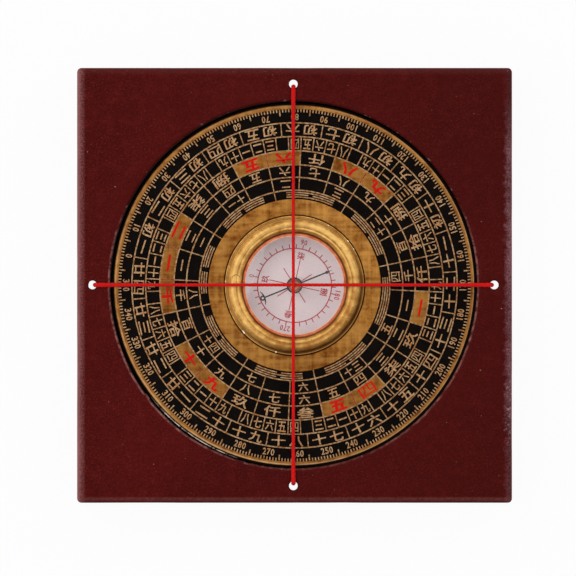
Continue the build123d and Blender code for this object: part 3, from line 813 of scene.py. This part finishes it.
def mountain_ring():
    """Raised signs in the enamelled cells, red ones on the brass cells, and red lines between brass cells."""
    print_foot = plate_height + 0.004
    printed = Relief(print_foot, print_foot + PRINT_THICKNESS)
    dividers = Relief(SIGN_FOOT + 0.01, SIGN_TOP)
    raised = Relief()
    for index in range(MOUNTAIN_COUNT):
        angle = mark(index * MOUNTAIN_STEP)
        if index not in BRASS_CELLS:
            raised.row(FORMAL[index % 12], MOUNTAIN_RADIUS, angle, width=3.9, height=2.45)
            continue
        printed.row(COUNTING[index % 12], MOUNTAIN_RADIUS, angle, width=3.9, height=2.6, weight=0.042)
        if (index + 1) % MOUNTAIN_COUNT in BRASS_CELLS:
            dividers.bar(27.92, 30.82, mark((index + 0.5) * MOUNTAIN_STEP), width=0.25)
    printed.piece("mountain_print", red_print("sign_red", srgb(216, 12, 4), srgb(184, 4, 2)))
    dividers.piece("mountain_dividers", red_print("line_red", srgb(160, 30, 12), srgb(124, 18, 8)))
    raised.piece("mountain_signs")


def branch_ring():
    """One sign in each of the 24 cells."""
    ring = Relief()
    for index in range(MOUNTAIN_COUNT):
        ring.row(COUNTING[index % 12], BRANCH_RADIUS, mark(index * MOUNTAIN_STEP), width=2.6, height=2.1)
    ring.piece("branch_signs")


def star_ring():
    """Signs in every second cell: 1 to 8, and 11 to 14 in the middle of each quarter."""
    pairs = {3: "十一", 9: "十二", 15: "十三", 21: "十四"}
    single = iter(COUNTING)
    ring = Relief()
    for index in range(1, MOUNTAIN_COUNT, 2):
        angle = mark(index * MOUNTAIN_STEP)
        if index in pairs:
            ring.row(pairs[index], STAR_RADIUS, angle, width=1.9, height=2.1, pitch=2.35)
        else:
            ring.row(next(single), STAR_RADIUS, angle, width=2.3, height=2.1)
    ring.piece("star_signs")


def card_print():
    """Circle, ticks, rays, signs and numbers on the card under the needle."""
    foot = card_height + 0.006
    layer = Relief(foot, foot + PRINT_THICKNESS)
    layer.hoop(8.44, 8.68)
    for value in range(0, 360, 10):
        layer.bar(8.6, 9.55, mark(value, CARD_NORTH), width=0.22)
    for quarter, sign in enumerate("玖柒捌叁"):
        angle = mark(quarter * 90, CARD_NORTH)
        layer.bar(1.75, 5.95, angle, width=0.19)
        layer.bar(1.75, 4.7, angle + EIGHTH_TURN, width=0.2)
        layer.row(sign, 6.95, angle, width=1.75, height=1.75, inward=False, weight=0.02)
        number = str(quarter * 90)
        layer.row(number, 10.15, angle, width=0.66, height=1.25, pitch=0.82, inward=False, weight=0.02)
    layer.piece("card_print", red_print("card_ink", srgb(212, 48, 64), srgb(172, 34, 52), 0.3), "card_white")


degree_ring()
pair_ring()
sixty_ring()
mountain_ring()
branch_ring()
star_ring()
card_print()


# Leather skin: one closed shell from the rim of the well over the edges to the turned-in flaps
def square_point(angle, half, corner):
    """Point at an angle on a square with the given half side and corner radius."""
    cosine, sine = math.cos(math.radians(angle)), math.sin(math.radians(angle))
    reach = min(half / max(abs(cosine), 1e-9), half / max(abs(sine), 1e-9))
    centre = half - corner
    if abs(reach * cosine) > centre and abs(reach * sine) > centre:
        # Solve for the corner's arc along the same direction
        centre_x, centre_y = math.copysign(centre, cosine), math.copysign(centre, sine)
        along = centre_x * cosine + centre_y * sine
        reach = along + math.sqrt(max(along * along - (2 * centre * centre - corner * corner), 0))
    return reach * cosine, reach * sine


def eased(value, start, end):
    """Smooth step from 0 to 1 between two values."""
    share = max(0.0, min(1.0, (value - start) / (end - start)))
    return share * share * (3 - 2 * share)


def skin_angles():
    """Angles of the skin's sections, a degree apart and closer together at the corners and the torn spot."""
    angles = []
    angle = 0.0
    while angle < 359.95:
        angles.append(angle)
        near_corner = 42.9 < angle % 90 < 47.0
        near_tear = 214.9 < angle < 218.9
        angle = round(angle + (0.2 if near_corner or near_tear else 1.0), 3)
    return angles


def skin_section(angle):
    """Corners of the skin's closed section at one angle, as X, Y and height."""
    spot = Vector(polar(4.2, angle)).to_3d() + Vector((0, 0, 0.3))
    sway = 0.02 + 0.05 * max(noise.noise(spot * 1.7), 0)
    lift = 0.02 * noise.noise(spot * 6)
    ragged = 0.03 * noise.noise(spot * 9) + 0.024 * noise.noise(spot * 23)
    # The lip's circle lies toward the upper left, is wider in the lower left and has one torn spot there
    lip = LIP_RADIUS + 0.28 * math.cos(math.radians(angle - 150)) + ragged
    lip += 0.13 * eased(angle, 196, 210) * (1 - eased(angle, 232, 246))
    lip -= 0.26 * eased(angle, 215.4, 216.6) * (1 - eased(angle, 217.4, 218.6))

    def outer(inset, corner):
        return square_point(angle, BOARD_HALF - inset - sway, corner)

    def inner(inset, corner):
        return square_point(angle, BOARD_HALF - inset, corner)

    # Over the rim of the well, as distance from the lip and height
    rim = ((0.3, 15.3), (0.0, 15.45 + lift), (0.07, 15.68 + lift), (0.25, 15.87 + lift), (0.5, 15.97))
    section = [(*polar(lip + distance, angle), height) for distance, height in rim]
    # Over the top, which dips a little
    start = Vector(polar(lip + 0.9, angle))
    finish = Vector(outer(TOP_ROUNDING, FACE_CORNER))
    section.append((*start, BOARD_TOP))
    for share in (0.16, 0.33, 0.5, 0.67, 0.84):
        x, y = start.lerp(finish, share)
        dip = 0.035 * (0.5 + 0.5 * noise.noise(Vector((x * 0.16, y * 0.16, 2.0))))
        section.append((x, y, BOARD_TOP - dip))
    # Round the upper edge, down the side and round the lower edge
    for tilt in range(90, -1, -15):
        level, rise = polar(1, tilt)
        corner = FACE_CORNER + (SIDE_CORNER - FACE_CORNER) * level
        height = BOARD_TOP - TOP_ROUNDING + TOP_ROUNDING * rise
        section.append((*outer(TOP_ROUNDING - TOP_ROUNDING * level, corner), height))
    for height in (11.5, 8.0, 4.8):
        bulge = 0.03 * noise.noise(Vector((*polar(20, angle), height)))
        section.append((*outer(max(bulge, 0), SIDE_CORNER), height))
    for step in range(4):
        level, drop = polar(1, step * 30)
        corner = SIDE_CORNER - 0.4 * (step / 3)
        height = FLAP_BOTTOM + BOTTOM_ROUNDING - BOTTOM_ROUNDING * drop
        section.append((*outer(BOTTOM_ROUNDING - BOTTOM_ROUNDING * level, corner), height))
    # Under the board to the flap's end, and back along the inside
    back = (
        (4.0, FLAP_CORNER, FLAP_BOTTOM),
        (TURN_IN, FLAP_CORNER, FLAP_BOTTOM),
        (TURN_IN, FLAP_CORNER, CORE_BOTTOM),
        (SKIN_THICKNESS, SIDE_CORNER, CORE_BOTTOM),
        (SKIN_THICKNESS, SIDE_CORNER, BOARD_TOP - TOP_ROUNDING),
        (0.74, 0.8, 15.26),
        (TOP_ROUNDING, 0.4, BOARD_TOP - SKIN_THICKNESS),
    )
    return section + [(*inner(inset, corner), height) for inset, corner, height in back]


def hole_cutter():
    """The four cord holes as one mesh: wide in the flap, small in the top skin, with a flared mouth."""
    profile = (
        (1.6, 0.5), (1.6, 8.0), (1.0, 8.0), (1.0, 15.55),
        (1.06, 15.76), (1.22, 15.92), (1.5, 16.02), (1.5, 17.0),
    )
    ring_starts = [level * HOLE_SIDES for level in range(len(profile))]
    holes = Relief()
    for quarter in range(4):
        centre = Vector(polar(HOLE_REACH, quarter * 90)) + Vector(CORD_SHIFT)
        points = []
        for radius, height in profile:
            for side in range(HOLE_SIDES):
                x, y = polar(radius, side * 360 / HOLE_SIDES)
                points.append(mm(centre.x + x, centre.y + y, height))
        faces = []
        for start in ring_starts[:-1]:
            for side in range(HOLE_SIDES):
                a, b = start + side, start + (side + 1) % HOLE_SIDES
                faces.append((a, b, b + HOLE_SIDES, a + HOLE_SIDES))
        faces.append(tuple(reversed(range(HOLE_SIDES))))
        faces.append(tuple(range(ring_starts[-1], ring_starts[-1] + HOLE_SIDES)))
        holes.add(points, faces)
    return meshed("hole_cutter", holes.points, holes.faces)


def leather_skin():
    """The whole skin with its four holes, shown in place of the CAD's."""
    sections = [skin_section(angle) for angle in skin_angles()]
    rows = len(sections[0])
    points = [mm(*point) for section in sections for point in section]
    faces = []
    for index in range(len(sections)):
        a = index * rows
        b = ((index + 1) % len(sections)) * rows
        faces += [(a + k, a + (k + 1) % rows, b + (k + 1) % rows, b + k) for k in range(rows)]
    skin = smoothed(piece_from("leather_wrap", points, faces, leather, "base"))
    cutter = hole_cutter()
    cut = skin.modifiers.new("holes", "BOOLEAN")
    cut.operation = "DIFFERENCE"
    cut.object = cutter
    cut.solver = "EXACT"
    bpy.context.view_layer.update()
    holed = bpy.data.meshes.new_from_object(skin.evaluated_get(bpy.context.evaluated_depsgraph_get()))
    skin.modifiers.clear()
    skin.data = holed
    bpy.data.objects.remove(cutter)
    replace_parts(skin, "board_wrap")


leather_skin()


# Cord: three strands twisted together along the CAD's route, thicker where it is gathered near the holes
def rounded(before, corner, after, bend):
    """Points of the arc that rounds one corner of the route."""
    into = (before - corner).normalized()
    out = (after - corner).normalized()
    half_angle = into.angle(out) / 2
    setback = bend / math.tan(half_angle)
    centre = corner + (into + out).normalized() * (bend / math.sin(half_angle))
    start = corner + into * setback - centre
    finish = corner + out * setback - centre
    sweep = start.angle(finish)
    steps = max(6, int(math.degrees(sweep) / 12))
    arc = []
    for step in range(steps + 1):
        share = step / steps
        spoke = (start * math.sin((1 - share) * sweep) + finish * math.sin(share * sweep)) / math.sin(sweep)
        arc.append(centre + spoke)
    return arc


def route_points():
    """Points along the closed route, with every corner rounded."""
    aside = Vector((*CORD_SHIFT, 0))
    reach, low_reach = CORD_TURN_REACH, CORD_LOW_REACH
    knot_place = Vector((-low_reach / 2, low_reach / 2, CORD_LOW))
    corners = [
        (knot_place, 0),
        (Vector((-low_reach, 0, CORD_LOW)), CORD_BEND),
        (Vector((-reach, 0, CORD_TOP)) + aside, CORD_BEND),
        (Vector((reach, 0, CORD_TOP)) + aside, CORD_BEND),
        (Vector((low_reach, 0, CORD_LOW)), CORD_BEND),
        (Vector((0, -low_reach, CORD_LOW)), CORD_BEND),
        (Vector((0, -reach, CORD_TOP)) + aside, CORD_BEND),
        (Vector((0, 0, CORD_CROSSING)) + aside, CROSSING_BEND),
        (Vector((0, reach, CORD_TOP)) + aside, CORD_BEND),
        (Vector((0, low_reach, CORD_LOW)), CORD_BEND),
        (knot_place, 0),
    ]
    path = [knot_place]
    for (before, _), (corner, bend), (after, _) in zip(corners, corners[1:], corners[2:]):
        path += rounded(before, corner, after, bend)
    return path + [knot_place]


def walk(path, step):
    """Evenly spaced points along a polyline."""
    lengths = [(b - a).length for a, b in zip(path, path[1:])]
    total = sum(lengths)
    count = int(total / step)
    spaced = []
    segment = 0
    passed = 0.0
    for index in range(count + 1):
        wanted = total * index / count
        while segment < len(lengths) - 1 and passed + lengths[segment] < wanted:
            passed += lengths[segment]
            segment += 1
        share = (wanted - passed) / max(lengths[segment], 1e-9)
        spaced.append(path[segment].lerp(path[segment + 1], min(share, 1.0)))
    return spaced


def twisted(name, path, width_at, turns_per_step, sides):
    """Three-lobed twisted cord along a path, as a smooth piece on the base."""
    points = []
    side = None
    for index, here in enumerate(path):
        ahead = path[min(index + 1, len(path) - 1)] - path[max(index - 1, 0)]
        ahead.normalize()
        if side is None:
            side = ahead.cross(Vector((0, 0, 1))).normalized()
        side = (side - ahead * side.dot(ahead)).normalized()
        other = ahead.cross(side)
        for k in range(sides):
            spin = 2 * math.pi * (k / sides + index * turns_per_step)
            lobe = 0.86 + 0.14 * abs(math.cos(1.5 * 2 * math.pi * k / sides))
            spoke = (side * math.cos(spin) + other * math.sin(spin)) * width_at(here) * lobe
            points.append((here + spoke) * MM)
    faces = []
    for start in range(0, (len(path) - 1) * sides, sides):
        for k in range(sides):
            a, b = start + k, start + (k + 1) % sides
            faces.append((a, b, b + sides, a + sides))
    faces.append(tuple(reversed(range(sides))))
    faces.append(tuple(range(len(points) - sides, len(points))))
    return smoothed(piece_from(name, points, faces, cord_red, "base"))


def cord_width(here):
    """Radius of the cord: fuller near the holes, thin over the dial."""
    if here.z < 15:
        return HIDDEN_CORD_RADIUS
    reach = max(abs(here.x), abs(here.y))
    return CORD_RADIUS + GATHERED_EXTRA * max(0.0, min(1.0, (reach - 28) / 16)) ** 2


def cross_cord():
    """The cord along its whole route, shown in place of the CAD's."""
    path = walk(route_points(), 0.25)
    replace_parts(twisted("twisted_cord", path, cord_width, turns_per_step=1 / 12, sides=12), "cross_cord")


def cord_knot():
    """Overhand knot of the cord's two ends, in the slot under the board."""
    centre = Vector((-CORD_LOW_REACH / 2, CORD_LOW_REACH / 2, CORD_LOW))
    along = Vector((1, 1, 0)).normalized()
    across = Vector((-1, 1, 0)).normalized()
    up = Vector((0, 0, 1))
    loop = []
    for index in range(97):
        share = 2 * math.pi * index / 96
        wide = math.sin(share) + 2 * math.sin(2 * share)
        tall = math.cos(share) - 2 * math.cos(2 * share)
        deep = -math.sin(3 * share)
        loop.append(centre + along * wide * 0.36 + across * tall * 0.17 + up * deep * 0.22)
    knot = twisted("overhand_knot", loop, lambda here: 0.24, turns_per_step=1 / 24, sides=10)
    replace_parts(knot, "cord_knot")


cross_cord()
cord_knot()


# Stage and lights
STAGE_SIDES = 72
STAGE_RADIUS = 3.0
STAGE_HEIGHT = 2.5
FLOOR_DROP = 0.0001


def backdrop(name, vertices, faces, share):
    """Pale stage surface: it takes the object's shadow, and rays that look at it see mostly white."""
    paper = Finish(name, roughness=0.9)
    paper.colour(paper.mix(paper.noise(40, 3), srgb(240, 240, 240), srgb(236, 236, 236)))
    glow = paper.node("Emission")
    paper.put(1.0, glow.inputs["Strength"])
    path = paper.node("LightPath").outputs
    seen = paper.math("MAXIMUM", path["Is Camera Ray"], path["Is Glossy Ray"])
    seen = paper.math("MAXIMUM", seen, path["Is Transmission Ray"])
    paper.swap(paper.times(seen, share), glow)
    piece = meshed(name, vertices, faces)
    dress(piece, paper)


def lamp(name, place, size, power):
    """Round area lamp that faces the object; its place and size are in metres."""
    light = bpy.data.lights.new(name, "AREA")
    light.shape = "DISK"
    light.size = size
    light.energy = power
    item = linked(name, light)
    item.location = place
    item.rotation_euler = (-Vector(place)).to_track_quat("-Z", "Y").to_euler()


foot_ring = [Vector((*polar(STAGE_RADIUS, step * 360 / STAGE_SIDES), 0)) for step in range(STAGE_SIDES)]
top_ring = [point + Vector((0, 0, STAGE_HEIGHT)) for point in foot_ring]
floor_ring = [point - Vector((0, 0, FLOOR_DROP)) for point in foot_ring]
wall_faces = []
for step in range(STAGE_SIDES):
    ahead = (step + 1) % STAGE_SIDES
    wall_faces.append((ahead, step, step + STAGE_SIDES, ahead + STAGE_SIDES))
backdrop("floor", floor_ring, [tuple(range(STAGE_SIDES))], 0.95)
backdrop("backdrop_wall", foot_ring + top_ring, wall_faces, 1.0)

world = bpy.data.worlds.new("studio")
world.use_nodes = True
world.node_tree.nodes["Background"].inputs[0].default_value = (0.58, 0.58, 0.59, 1)
bpy.context.scene.world = world
lamp("key_light", (-0.39, 0.14, 0.65), size=0.95, power=2.76)
lamp("fill_light", (0.62, 0.35, 0.8), size=0.8, power=1.7)

bpy.context.scene.view_settings.view_transform = "Standard"
